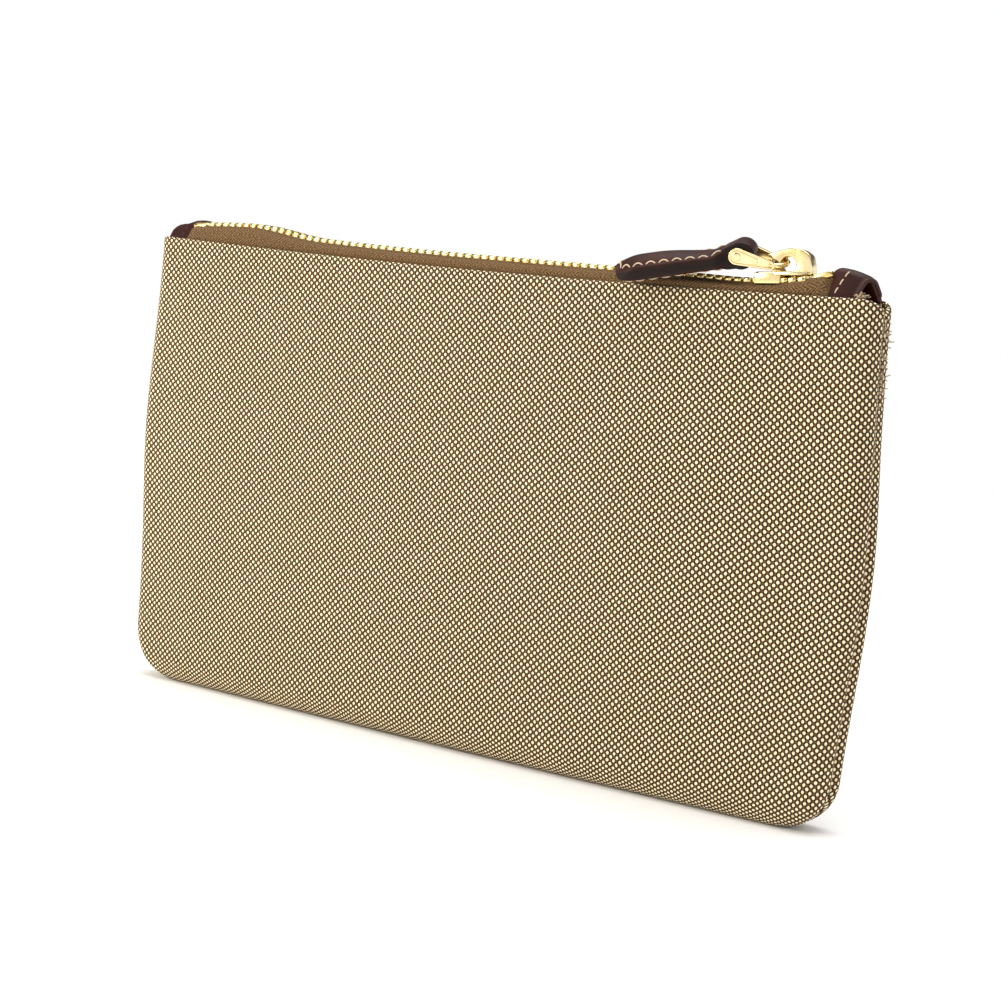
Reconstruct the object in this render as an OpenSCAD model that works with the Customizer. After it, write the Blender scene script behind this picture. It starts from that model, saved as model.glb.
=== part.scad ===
// Zip-top pouch in two-tone woven cloth, with a brass-toned metal zip and a padded leather pull.
// The pouch stands upright: X runs along the zip, the front panel faces -Y, +Z is up.
// The origin is the middle of the strip that it rests on.

/* [Pouch] */
// Width across the side seams
pouch_w = 210; // [205:0.5:215]
// Height of the cloth panels at the side seams
pouch_h = 122; // [121:0.5:124]
// How far the panels' top edges dip in the middle
top_dip = 2.3; // [1.5:0.1:3]
// Half thickness of the filled pouch in its middle
belly_half = 8.5; // [8:0.25:10]
// Half thickness of the pouch just inside its side seams
edge_half = 6; // [5.5:0.25:7]
// Half distance between the outer faces of the two top edges
mouth_half = 6.4; // [6.2:0.1:7]
// Radius of the turned side edges
side_turn = 5; // [4.5:0.25:6]
// Radius of the turned bottom edge
foot_turn = 6; // [5:0.25:7]
// Radius of the two lower corners
corner_r = 12; // [10:0.5:16]
// Part of the thickness that lies flat on the ground
foot_flat = 0.35; // [0.3:0.05:0.5]

/* [Layers] */
// Thickness of the woven outer cloth
cloth_t = 1; // [0.8:0.05:1]
// Thickness of the padded interlining
pad_t = 0.5; // [0.3:0.05:0.5]
// Thickness of the lining cloth
lining_t = 0.4; // [0.3:0.05:0.5]
// Space between one layer and the next
layer_gap = 0.1; // [0.1:0.05:0.15]
// Space between the front and the back cloth at the seams
seam_gap = 0.3; // [0.2:0.05:0.4]

/* [Zip chain] */
// Distance from one tooth to the next on the same side
tooth_pitch = 2.4; // [2.3:0.05:2.6]
// Size of a tooth along the zip
tooth_t = 1; // [0.9:0.05:1]
// Height of a tooth
tooth_h = 1.9; // [1.7:0.05:1.9]
// Reach of a tooth's outer end from the middle of the closed chain
tooth_out = 2.85; // [2.7:0.05:2.9]
// Reach of a tooth's head past the middle of the closed chain
tooth_in = 0.7; // [0.6:0.05:0.7]
// How far each side swings out at the slider's nose
chain_part = 1.9; // [1.8:0.05:1.9]
// Radius of the cord along the tape's edge
cord_r = 0.55; // [0.45:0.05:0.55]
// Thickness of the zip tape
tape_t = 0.4; // [0.3:0.05:0.4]
// Depth of the tape that is hidden behind each panel
tape_tuck = 9; // [7:0.5:10]

/* [Slider] */
// Distance of the closed slider's middle from the pouch's middle
slider_x = 79.7; // [79:0.1:80]
// Height of the closed slider's middle
slider_z = 124; // [123.9:0.05:124.1]
// Upward tilt of the slider towards its nose
slider_tilt = 4.3; // [3.5:0.1:5]
// Thickness of the slider's upper and lower plates
plate_t = 0.9; // [0.8:0.05:1]
// Half width of the slider's tail
tail_half = 4.2; // [4.1:0.05:4.3]
// Half width of the slider's nose
nose_half = 5; // [4.9:0.05:5.1]
// Thickness of the domed crown across the zip
crown_t = 2.8; // [2.6:0.1:2.8]

/* [Puller] */
// Distance from the crown's eye to the rivet pin
link_len = 11.3; // [11.1:0.1:11.8]
// Upward tilt of the resting link towards its pin
link_tilt = 8; // [7:0.5:9]
// Sideways roll of the resting puller towards the front
pull_roll = 14; // [12:0.5:15]
// Turn of the resting puller towards the front
pull_yaw = 18; // [17:0.5:19]
// Radius of the rivet pin
pin_r = 0.8; // [0.7:0.05:0.8]
// Downward tilt of the resting leather pull
pull_droop = 12.9; // [12:0.1:13]
// Length of the leather pull from the pin to its tip
pull_len = 29.4; // [28:0.2:31]
// Width of the leather pull
pull_w = 10; // [9:0.5:11]
// Width of the leather loop between the link's arms
loop_w = 7; // [6:0.25:7]
// Thickness of the pull's leather
leather_t = 1; // [0.9:0.05:1.1]
// Thickness of the filler between the two leathers
core_t = 1.4; // [1.2:0.1:1.6]

/* [Hidden] */
$fn = 32;
eps = 0.05;
half_w = pouch_w / 2;
half_seam = seam_gap / 2;
pad_in = cloth_t + layer_gap;
lining_in = pad_in + pad_t + layer_gap;
tape_in = cloth_t + layer_gap / 2;
// The zip's tapes, its stops and the tabs along X
tape_left = -96.6;
tape_right = 94.1;
bottom_stop_x = [-96.2, -91.7];
top_stop_x = [90.6, 93];
teeth_x = [-90.6, 89.8];
left_tab_x = [-104, -96.8];
right_tab_x = [94.4, 103.4];
// Middle of the chain: X, height, slope
CHAIN = [
    [-100, 125.2, 0.04], [-86, 125.9, 0.05], [-74, 126.3, -0.01], [-52, 124, -0.03], [60, 123.5, 0],
    [73, 123.5, 0.05], [86, 124.5, 0.12], [92, 126.2, 0.25], [96, 126.6, 0],
];
// Leather of the end tabs
tab_t = 1.3;
tab_base = pouch_h + 0.3;
// Thread of the stitches
thread_r = 0.22;

// ---------- Shape of the sewn cloth ----------

function smooth(t) = let (u = min(1, max(0, t))) u * u * (3 - 2 * u);
function mix(a, b, t) = a + (b - a) * t;

// Height of the panels' top edge at x
function top_z(x) = pouch_h - top_dip * (1 - pow(x / half_w, 2));

// Half thickness of the pouch's outer face at x and z, before its edges are turned
function belly(x, z) =
    let (mid = edge_half + (belly_half - edge_half) * (1 - pow(x / half_w, 2)))
    mix(mid, mouth_half - 0.6 * pow(x / half_w, 2), smooth((z - 66) / (pouch_h - 66)));

// Half width of the layer that lies o inside the outer face, at height z
function width_at(o, z) =
    let (r = corner_r - o)
    z >= corner_r ? half_w - o : half_w - corner_r + sqrt(max(0, r * r - pow(corner_r - z, 2)));

TURN = [0, 22.5, 45, 67.5, 90];
FLAT_COLS = 11;
RISE_ROWS = 7;
COLS = 2 * len(TURN) + FLAT_COLS - 1;
ROWS = 6 + RISE_ROWS;

// Signed share of the way from the middle to a side edge, and the turn of that edge
function col_turn(i) = i < len(TURN) ? TURN[i] : i >= COLS - len(TURN) ? TURN[COLS - 1 - i] : 90;
function col_flat(i) = min(1, max(-1, -1 + 2 * (i - len(TURN) + 1) / FLAT_COLS));
function col_x(o, i, w) =
    let (r = side_turn - o)
    col_flat(i) * (w - r) + sign(i - COLS / 2) * (r * cos(col_turn(i)));

// Height of row j, and its share of the half thickness
function row_z(o, j, x, top) =
    let (r = foot_turn - o)
    j < 2 ? o :
    j == 2 ? o + r * (1 - cos(30)) :
    j == 3 ? o + r * (1 - cos(60)) :
    j == 4 ? foot_turn :
    j == 5 ? corner_r :
    corner_r + (top_z(x) - top - corner_r) * (j - 5) / RISE_ROWS;
function row_share(j) =
    j == 0 ? 0 : j < 5 ? foot_flat + (1 - foot_flat) * sin(30 * (j - 1)) : 1;

// Point of a layer's face that lies o inside the outer face, in column i and row j
function cloth_point(o, i, j, top) =
    let (
        w = width_at(o, row_z(o, j, 0, top)) - (j == 0 ? 1 : 0),
        x = col_x(o, i, w),
        z = row_z(o, j, x, top)
    )
    [x, -half_seam - (belly(x, z) - half_seam - o) * sin(col_turn(i)) * row_share(j), z];

function grid_faces(first, flip) = [
    for (j = [0 : ROWS - 2], i = [0 : COLS - 2])
    let (a = first + j * COLS + i, b = a + 1, c = a + COLS, d = c + 1)
    for (tri = (i < COLS / 2) ? [[a, c, d], [a, d, b]] : [[a, c, b], [b, c, d]])
    flip ? [tri[0], tri[2], tri[1]] : tri
];
// The border of the grid, as a closed ring of point numbers
RING = concat(
    [for (i = [0 : COLS - 2]) i],
    [for (j = [0 : ROWS - 2]) j * COLS + COLS - 1],
    [for (i = [COLS - 1 : -1 : 1]) (ROWS - 1) * COLS + i],
    [for (j = [ROWS - 1 : -1 : 1]) j * COLS]
);
function rim_faces(n) = [
    for (k = [0 : len(RING) - 1])
    let (a = RING[k], b = RING[(k + 1) % len(RING)])
    for (tri = [[a, b, a + n], [b, b + n, a + n]]) tri
];

// One layer of the front: its outer face lies o inside, it is t thick, and stops top below the edge
module cloth_layer(o, t, top) {
    outer = [for (j = [0 : ROWS - 1], i = [0 : COLS - 1]) cloth_point(o, i, j, top)];
    inner = [for (j = [0 : ROWS - 1], i = [0 : COLS - 1]) cloth_point(o + t, i, j, top)];
    n = len(outer);
    polyhedron(concat(outer, inner), concat(grid_faces(0, false), grid_faces(n, true), rim_faces(n)));
}

module to_back() {
    mirror([0, 1, 0]) children();
}

// ---------- Line of the zip ----------

// Cubic curve through the chain's keys
function chain_seg(x, k) =
    let (
        a = CHAIN[k], b = CHAIN[k + 1], w = b[0] - a[0], t = (x - a[0]) / w,
        t2 = t * t, t3 = t2 * t
    )
    (2 * t3 - 3 * t2 + 1) * a[1] + (t3 - 2 * t2 + t) * w * a[2]
    + (3 * t2 - 2 * t3) * b[1] + (t3 - t2) * w * b[2];
function chain_z(x, k = 0) =
    k == len(CHAIN) - 2 || x <= CHAIN[k + 1][0] ? chain_seg(x, k) : chain_z(x, k + 1);
function chain_slope(x) = atan((chain_z(x + 0.1) - chain_z(x - 0.1)) / 0.2);

// How far each side of the chain stands apart at x: closed, parted in the slider, then closing
function part_y(x) = chain_part * (smooth((x - slider_x + 1.5) / 7.5) - 0.7 * smooth((x - 88) / 5));

// Puts a piece on the front side of the chain at x
module on_chain(x) {
    translate([x, -part_y(x), chain_z(x)])
    rotate([0, -chain_slope(x), 0])
    children();
}

// Closed tube along X through a list of stations, each one a closed outline of [y, z]
module station_loft(xs, outlines) {
    n = len(outlines[0]);
    last = len(xs) - 1;
    points = [for (k = [0 : last], p = outlines[k]) [xs[k], p[0], p[1]]];
    sides = [
        for (k = [0 : last - 1], i = [0 : n - 1])
        let (a = k * n + i, b = k * n + (i + 1) % n)
        for (tri = [[a, a + n, b], [b, a + n, b + n]]) tri
    ];
    ends = [[for (i = [0 : n - 1]) i], [for (i = [n - 1 : -1 : 0]) last * n + i]];
    polyhedron(points, concat(sides, ends));
}

STATIONS = 46;
function station_x(k) = mix(tape_left, tape_right, k / STATIONS);

// Face of the cloth at height z, o inside the outer face, away from the turned edges
function cloth_y(o, x, z) = -belly(x, z) + o;

// The tape leaves the teeth level, bends down past the slider's edge and runs behind the panel
function tape_outline(x) =
    let (
        h = tape_t / 2, zc = chain_z(x), y0 = -1.4 - part_y(x), y1 = -tooth_out - 0.2 - part_y(x),
        bend = min(y1 - 0.55, cloth_y(tape_in, x, top_z(x)) - 0.45),
        inner = tape_in + tape_t, zt = top_z(x) + 0.05, zb = top_z(x) - tape_tuck
    )
    [
        [y0, zc + h], [y1, zc + h], [bend, zc - 0.15], [bend, zt + 0.75], [cloth_y(tape_in, x, zt), zt],
        [cloth_y(tape_in, x, zb), zb], [cloth_y(inner, x, zb), zb], [cloth_y(inner, x, zt), zt],
        [bend + tape_t, zt + 0.75], [bend + tape_t, zc - 0.45], [y1 + 0.1, zc - h], [y0, zc - h],
    ];

module tape() {
    xs = [for (k = [0 : STATIONS]) station_x(k)];
    station_loft(xs, [for (x = xs) tape_outline(x)]);
}

module cord() {
    xs = [for (k = [0 : STATIONS]) station_x(k)];
    ring = [for (a = [0 : 60 : 300]) [cord_r * cos(a), cord_r * sin(a)]];
    station_loft(xs, [for (x = xs) [for (p = ring) [p[0] - 1.9 - part_y(x), p[1] + chain_z(x)]]]);
}

// One tooth: a body that grips the cord, a waist and a rounded head
module tooth() {
    body = tooth_out - 0.9;
    rotate([90, 0, 90])
    translate([0, 0, -tooth_t / 2])
    linear_extrude(tooth_t)
    difference() {
        union() {
            translate([-tooth_out, -tooth_h / 2]) square([body, tooth_h]);
            translate([-1, -tooth_h / 2 + 0.25]) square([1 + tooth_in - 0.5, tooth_h - 0.5]);
            translate([tooth_in - 0.6, 0]) circle(r = 0.6);
        }
        translate([-1.9, 0]) circle(r = cord_r + 0.1);
        translate([-tooth_out - 1, -tape_t / 2 - 0.1]) square([1.1, tape_t + 0.2]);
    }
}

// A row of teeth; the back row sits half a pitch further along
module teeth(shift) {
    count = floor((teeth_x[1] - teeth_x[0] - tooth_pitch / 2) / tooth_pitch);
    for (k = [0 : count]) {
        on_chain(teeth_x[0] + tooth_t / 2 + shift + k * tooth_pitch) tooth();
    }
}

// The small block that ends one side of the chain
module top_stop() {
    len = top_stop_x[1] - top_stop_x[0];
    on_chain((top_stop_x[0] + top_stop_x[1]) / 2)
    rotate([90, 0, 90])
    translate([0, 0, -len / 2])
    linear_extrude(len)
    difference() {
        translate([-tooth_out, -1.15]) square([2, 2.3]);
        translate([-1.9, 0]) circle(r = cord_r + 0.2);
        translate([-tooth_out - 1, -tape_t / 2 - 0.15]) square([1.5, tape_t + 0.3]);
    }
}

// ---------- Slider, in its own tilted frame ----------

module in_slider() {
    translate([slider_x, 0, slider_z])
    rotate([0, -slider_tilt, 0])
    children();
}

channel_half = tooth_h / 2 + 0.4;
plate_top = channel_half + plate_t;
slider_tail = -6.5;
slider_nose = 7.3;
// The crown's eye and the dome above it
eye_x = 2;
eye_z = 3.9;
eye_r = 2.2;
dome_r = 14;
dome_top = 7.2;
dome_x = 2.8;
crown_left = -3.4;
crown_right = 8.1;
crown_turn = 4;

module plate_outline() {
    round_r = 1.5;
    translate([slider_tail + round_r, tail_half - round_r]) circle(r = round_r);
    translate([slider_tail + round_r, round_r - tail_half]) circle(r = round_r);
    translate([slider_tail, round_r - tail_half]) square([round_r, 2 * (tail_half - round_r)]);
    polygon([
        [slider_tail + round_r, -tail_half], [-0.5, -tail_half], [3.6, -nose_half], [5.6, -nose_half],
        [slider_nose, -2.6], [slider_nose, 2.6], [5.6, nose_half], [3.6, nose_half],
        [-0.5, tail_half], [slider_tail + round_r, tail_half],
    ]);
}

// Edges of a plate, turned towards the other plate; the tape runs out between them
flange_x = -5.3;
flange_len = 5.2;
flange_t = 0.85;
flange_z = tape_t / 2 + 0.3;

module flange() {
    for (y = [-tail_half, tail_half - flange_t]) {
        translate([flange_x, y, flange_z]) cube([flange_len, flange_t, channel_half - flange_z + eps]);
    }
}

// Wedge between the two rows of teeth
module post_outline() {
    polygon([[2.9, 0], [6.3, -1], [7, -1], [7, 1], [6.3, 1]]);
}

// Side view of the crown: a domed bridge with an eye, cut away below its left end
module crown_outline() {
    difference() {
        intersection() {
            translate([dome_x, dome_top - dome_r]) circle(r = dome_r, $fn = 96);
            union() {
                translate([crown_left, plate_top]) square([crown_right - crown_turn - crown_left, 8]);
                translate([crown_left, plate_top])
                square([crown_right - crown_left, dome_top - crown_turn - plate_top]);
                translate([crown_right - crown_turn, dome_top - crown_turn]) circle(r = crown_turn);
            }
            translate([crown_left, plate_top]) square([crown_right - crown_left, dome_top]);
        }
        translate([eye_x, eye_z]) circle(r = eye_r);
        polygon([
            [crown_left - 1, plate_top - 1], [-2, plate_top - 1], [-2, plate_top + 0.6],
            [-1.5, eye_z + 1], [crown_left, eye_z + 2.2], [crown_left - 1, eye_z + 2.2],
        ]);
    }
}

// ---------- Puller, in frames that hang on one another ----------

pivot = [eye_x - 0.8, 0, eye_z + 0.4];
ring_r = 0.6;
arm_t = 1;
arm_pin_r = 2.3;
arm_eye_r = 1;
eye_half = crown_t / 2 + 1.3;
pin_half = loop_w / 2 + 0.35;
arm_splay = atan((pin_half - eye_half) / link_len);

// At the crown's eye, with -X towards the pin
module in_link() {
    in_slider()
    translate(pivot)
    rotate([0, slider_tilt, 0])
    rotate([0, 0, pull_yaw])
    rotate([pull_roll, 0, 0])
    rotate([0, link_tilt, 0])
    children();
}

// At the pin, with -X towards the tip
module in_pull() {
    in_link()
    translate([-link_len, 0, 0])
    rotate([0, -link_tilt - pull_droop, 0])
    children();
}

// Points round part of a circle
function arc(centre, r, from, to, steps) = [
    for (k = [0 : steps])
    let (a = mix(from, to, k / steps))
    centre + r * [cos(a), sin(a)]
];

// Teardrop arm: a round end at the pin and a smaller one at the eye
module arm_outline() {
    lean = asin((arm_pin_r - arm_eye_r) / link_len);
    tangent = 90 - lean;
    polygon(concat(
        arc([0, 0], arm_eye_r, -tangent, tangent, 10),
        arc([-link_len, 0], arm_pin_r, tangent, 360 - tangent, 20)
    ));
}

module along_y(r, from, to) {
    translate([0, from, 0])
    rotate([-90, 0, 0])
    cylinder(r = r, h = to - from);
}

// The pull's leather from the side: two layers and the loop round the pin
pull_half_t = leather_t + core_t / 2;
loop_in = 1.7;
loop_out = loop_in + leather_t;
neck_x = -6;

module leather_profile() {
    difference() {
        union() {
            circle(r = loop_out);
            translate([neck_x, -pull_half_t]) square([-neck_x, 2 * pull_half_t]);
            translate([-pull_len, -pull_half_t]) square([pull_len + neck_x, 2 * pull_half_t]);
        }
        circle(r = loop_in);
        translate([-loop_in - 0.6, -0.7]) square([loop_in, 1.4]);
        translate([-pull_len - 1, -core_t / 2]) square([pull_len + neck_x + 2.6, core_t]);
    }
}

// The pull from above: a neck between the arms, a straight body and a round tip
module pull_outline(inset) {
    r = pull_w / 2 - inset;
    translate([-pull_len + pull_w / 2, 0]) circle(r = r);
    translate([-pull_len + pull_w / 2, -r]) square([pull_len - pull_w / 2 + neck_x - inset, 2 * r]);
}

// Stitches along one face of the pull, at height z
module pull_stitches(z) {
    stitch_len = 2.3;
    pitch = 3.2;
    r = pull_w / 2 - 0.9;
    tip_x = -pull_len + pull_w / 2;
    for (side = [-1, 1], k = [0 : 5]) {
        translate([tip_x + 1.6 + k * pitch, side * r, z])
        rotate([0, 90, 0])
        cylinder(r = thread_r, h = stitch_len);
    }
    for (a = [-60, -20, 20, 60]) {
        translate([tip_x, 0, z])
        rotate([0, 0, 180 + a])
        translate([r, -stitch_len / 2, 0])
        rotate([-90, 0, 0])
        cylinder(r = thread_r, h = stitch_len);
    }
}

// ---------- End tabs ----------

tab_ridge_r = 2;
// Lean of the flanks from upright
tab_lean = 30;

// Arch of folded leather with its ridge at z = 0; an inset makes the hollow under it
module tab_section(inset) {
    r = tab_ridge_r - inset;
    flank = 12;
    foot = [r * cos(tab_lean) + flank * sin(tab_lean), r * sin(tab_lean) - flank * cos(tab_lean)];
    ridge = arc([0, 0], r, tab_lean, 180 - tab_lean, 10);
    translate([0, -tab_ridge_r])
    polygon(concat([foot], ridge, [[-foot[0], foot[1]]]));
}

// A folded tab between two places along X; its ridge starts at height z0 and falls by an angle
module end_tab(span, z0, fall) {
    reach = 20;
    len = span[1] - span[0];
    intersection() {
        translate([span[0], 0, z0])
        rotate([0, fall, 0])
        rotate([90, 0, 90])
        translate([0, 0, -len])
        linear_extrude(3 * len)
        difference() {
            tab_section(0);
            tab_section(tab_t);
        }
        translate([span[0], -reach, tab_base]) cube([len, 2 * reach, reach]);
    }
}

// A line of stitches down both flanks of a tab whose ridge is z0 high there
module tab_stitches(x, z0, fall) {
    stitch = 1.9;
    pitch = 2.4;
    flank = (z0 - tab_base) / cos(tab_lean) - tab_ridge_r;
    for (side = [0, 1], start = [0.2 : pitch : flank - 0.4]) {
        mirror([0, side, 0])
        translate([x, 0, z0])
        rotate([0, fall, 0])
        translate([0, tab_ridge_r * cos(tab_lean), tab_ridge_r * (sin(tab_lean) - 1)])
        rotate([180 + tab_lean, 0, 0])
        translate([0, -thread_r - 0.05, start])
        cylinder(r = thread_r, h = min(stitch, flank - start));
    }
}

// ---------- Thread of the perimeter seam ----------

seam_inset = lining_in + lining_t + 0.45;

module seam_run() {
    stitch = 3;
    pitch = 4;
    inner_w = half_w - seam_inset;
    straight = half_w - corner_r;
    for (side = [-1, 1], k = [0 : floor((pouch_h - corner_r - 8) / pitch)]) {
        translate([side * inner_w, 0.4, corner_r + k * pitch]) cylinder(r = 0.2, h = stitch);
    }
    for (k = [0 : floor(2 * straight / pitch) - 1]) {
        translate([-straight + k * pitch + 1.5, 0.4, seam_inset])
        rotate([0, 90, 0])
        cylinder(r = 0.2, h = stitch);
    }
    for (side = [-1, 1], a = [15, 45, 75]) {
        translate([side * straight, 0.4, corner_r])
        rotate([0, side * a, 0])
        translate([-1.3, 0, seam_inset - corner_r])
        rotate([0, 90, 0])
        cylinder(r = 0.2, h = 2.6);
    }
}

// ---------- The pieces ----------

module front_panel() {
    color("#b7976a") cloth_layer(0, cloth_t, 0);
}

module back_panel() {
    color("#a78657") to_back() cloth_layer(0, cloth_t, 0);
}

module front_interlining() {
    color("#e9e2d2") cloth_layer(pad_in, pad_t, tape_tuck + 1);
}

module back_interlining() {
    color("#ddd5c3") to_back() cloth_layer(pad_in, pad_t, tape_tuck + 1);
}

module front_lining() {
    color("#6e5136") cloth_layer(lining_in, lining_t, 1.5);
}

module back_lining() {
    color("#644a31") to_back() cloth_layer(lining_in, lining_t, 1.5);
}

module front_tape() {
    color("#8a6c48") tape();
}

module back_tape() {
    color("#7d6140") to_back() tape();
}

module front_cord() {
    color("#a5895f") cord();
}

module back_cord() {
    color("#997d54") to_back() cord();
}

module front_teeth() {
    color("#e6cf84") teeth(0);
}

module back_teeth() {
    color("#d9c276") to_back() teeth(tooth_pitch / 2);
}

module front_top_stop() {
    color("#e6cf84") top_stop();
}

module back_top_stop() {
    color("#d9c276") to_back() top_stop();
}

// Block that holds both sides of the chain together at its closed end
module bottom_stop() {
    len = bottom_stop_x[1] - bottom_stop_x[0];
    mid = (bottom_stop_x[0] + bottom_stop_x[1]) / 2;
    color("#e6cf84")
    on_chain(mid)
    rotate([90, 0, 90])
    translate([0, 0, -len / 2])
    linear_extrude(len)
    difference() {
        translate([-2.9, -1.5]) square([5.8, 3]);
        for (side = [-1, 1]) {
            translate([side * 2.4 - 1.5, -0.85]) square([3, 1.7]);
        }
    }
}

module left_end_tab() {
    color("#553c33") end_tab(left_tab_x, 125.2, -10);
}

module right_end_tab() {
    color("#553c33") end_tab(right_tab_x, 128.9, 24);
}

module left_tab_stitching() {
    color("#d0b596") tab_stitches(left_tab_x[1] - 1.4, 126.15, -10);
}

module right_tab_stitching() {
    color("#d0b596") tab_stitches(right_tab_x[0] + 1.4, 128.3, 24);
}

module seam_thread() {
    color("#b49a72") seam_run();
}

module slider_body() {
    color("#e8d286")
    in_slider() {
        translate([0, 0, channel_half]) linear_extrude(plate_t) plate_outline();
        translate([0, 0, -plate_top]) linear_extrude(plate_t) plate_outline();
        flange();
        mirror([0, 0, 1]) flange();
        translate([0, 0, -channel_half - eps]) linear_extrude(2 * (channel_half + eps)) post_outline();
    }
}

module slider_crown() {
    color("#f0dc98")
    in_slider()
    translate([0, crown_t / 2, 0])
    rotate([90, 0, 0])
    linear_extrude(crown_t)
    crown_outline();
}

// Two splayed arms on a cross bar that runs through the crown's eye
module puller_link() {
    color("#f2df9c")
    in_link()
    difference() {
        union() {
            along_y(ring_r, -eye_half - arm_t / 2, eye_half + arm_t / 2);
            for (side = [-1, 1]) {
                translate([0, side * (eye_half + arm_t / 2), 0])
                rotate([0, 0, -side * arm_splay])
                translate([0, arm_t / 2, 0])
                rotate([90, 0, 0])
                linear_extrude(arm_t)
                arm_outline();
            }
        }
        translate([-link_len, 0, 0]) along_y(pin_r + 0.02, -8, 8);
    }
}

module puller_pin() {
    head = pin_half + arm_t + 0.15;
    color("#cdb766")
    in_link()
    translate([-link_len, 0, 0]) {
        along_y(pin_r, -head, head);
        along_y(1.15, head, head + 0.35);
        along_y(1.15, -head - 0.35, -head);
    }
}

module pull_leather() {
    color("#4e352c")
    in_pull()
    intersection() {
        translate([0, pull_w / 2, 0])
        rotate([90, 0, 0])
        linear_extrude(pull_w)
        leather_profile();
        translate([0, 0, -10])
        linear_extrude(20)
        union() {
            pull_outline(0);
            translate([neck_x - 1, -loop_w / 2]) square([-neck_x + 1 + loop_out, loop_w]);
        }
    }
}

module pull_core() {
    color("#3b2a24")
    in_pull()
    translate([0, 0, -core_t / 2 + 0.02])
    linear_extrude(core_t - 0.04)
    pull_outline(0);
}

module pull_stitching() {
    height = pull_half_t + thread_r + 0.01;
    color("#d0b596")
    in_pull() {
        pull_stitches(height);
        pull_stitches(-height);
    }
}

back_panel();
back_interlining();
back_lining();
back_tape();
back_cord();
back_teeth();
back_top_stop();
bottom_stop();
left_end_tab();
right_end_tab();
left_tab_stitching();
right_tab_stitching();
seam_thread();
front_panel();
front_interlining();
front_lining();
front_tape();
front_cord();
front_teeth();
front_top_stop();
slider_body();
slider_crown();
puller_link();
puller_pin();
pull_leather();
pull_core();
pull_stitching();
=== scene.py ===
"""Looks of the zip-top pouch: woven cloth, metal zip, leather tabs and a padded leather pull."""

import math
from random import gauss, seed, uniform

import bmesh
import bpy
import numpy as np
from mathutils import Matrix, Vector


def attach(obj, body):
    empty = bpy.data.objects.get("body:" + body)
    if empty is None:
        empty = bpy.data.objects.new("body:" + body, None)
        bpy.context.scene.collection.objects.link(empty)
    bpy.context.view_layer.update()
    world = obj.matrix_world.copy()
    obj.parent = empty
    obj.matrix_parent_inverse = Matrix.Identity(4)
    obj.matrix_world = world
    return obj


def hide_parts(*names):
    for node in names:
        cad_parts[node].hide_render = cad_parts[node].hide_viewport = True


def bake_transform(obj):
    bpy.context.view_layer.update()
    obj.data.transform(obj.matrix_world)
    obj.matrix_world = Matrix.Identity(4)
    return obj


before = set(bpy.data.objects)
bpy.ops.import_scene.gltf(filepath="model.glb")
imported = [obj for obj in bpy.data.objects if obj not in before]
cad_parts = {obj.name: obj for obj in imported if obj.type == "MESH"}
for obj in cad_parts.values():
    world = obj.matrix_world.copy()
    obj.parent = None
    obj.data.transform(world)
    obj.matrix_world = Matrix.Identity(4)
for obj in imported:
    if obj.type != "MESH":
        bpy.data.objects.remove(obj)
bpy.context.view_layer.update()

MM = 0.001
scene = bpy.context.scene
BACK, FRONT = "pouch_back", "pouch_front"

# --- Driving sizes, in millimetres, mostly those of the CAD

HALF_W = 105
POUCH_H = 122
TOP_DIP = 1.6
BELLY_HALF = 8.5
EDGE_HALF = 6
MOUTH_HALF = 6.4
SIDE_TURN = 5
FOOT_TURN = 6
# A pair holds the value of the left side and of the right side
CORNER_RS = (14.5, 12)
FOOT_FLAT = 0.35
HALF_SEAM = 0.05
CLOTH_T, PAD_T, LINING_T, TAPE_T = 1, 0.5, 0.4, 0.4
PAD_IN, LINING_IN, TAPE_MID = 1.1, 1.7, 1.25
TAPE_TUCK, TAPE_W = 9, 16.5
TOOTH_PITCH = 2.4
TOOTH_OUT = 2.85
CHAIN_PART = 1.9
CORD_R, CORD_Y = 0.4, 1.9
# Ends of the tapes, and where their end tabs begin to cover them; -1 is the front and 1 the back
TAPE_START, TAPE_END = -95.6, {-1: 93.2, 1: 98}
COVERED_FROM = {-1: 91.6, 1: 94.2}
TEETH_X = (-89.3, 88)
TOP_STOP_X = (88.6, 93.4)
BOTTOM_STOP_X = (-95.8, -89.7)
STITCH_R = 0.17
SLIDER = Vector((79.7, 0, 124))
SLIDER_TILT = 4.3
# Middle of the chain: X, height, slope
CHAIN = [
    (-100, 125.2, 0.04), (-86, 125.9, 0.05), (-74, 126.3, -0.01), (-52, 124, -0.03), (60, 123.5, 0),
    (73, 123.5, 0.05), (86, 124.5, 0.12), (92, 126.2, 0.25), (96, 126.6, 0),
]


def smooth(t):
    t = np.clip(t, 0, 1)
    return t * t * (3 - 2 * t)


def mix(a, b, t):
    return a + (b - a) * t


def by_side(x, pair):
    """The left or the right value of a pair, by the sign of x."""
    return np.where(x > 0, pair[1], pair[0])


def linked(name, data):
    """A new object in the scene."""
    obj = bpy.data.objects.new(name, data)
    scene.collection.objects.link(obj)
    return obj


def turned(axis, degrees):
    return Matrix.Rotation(math.radians(degrees), 4, axis)


def moved(*xyz):
    return Matrix.Translation(xyz)


def polar(r, a, x=0, y=0):
    return x + r * math.cos(a), y + r * math.sin(a)


def circle(count, r=1, start=0):
    """Points round the origin as (x, y)."""
    return [polar(r, math.tau * (k + start) / count) for k in range(count)]


def run_along(line):
    """Distance of each point along a polyline."""
    return np.concatenate([[0], np.cumsum(np.linalg.norm(np.diff(line, axis=0), axis=1))])


# --- Mesh helpers: points are in millimetres, objects in metres


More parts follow.
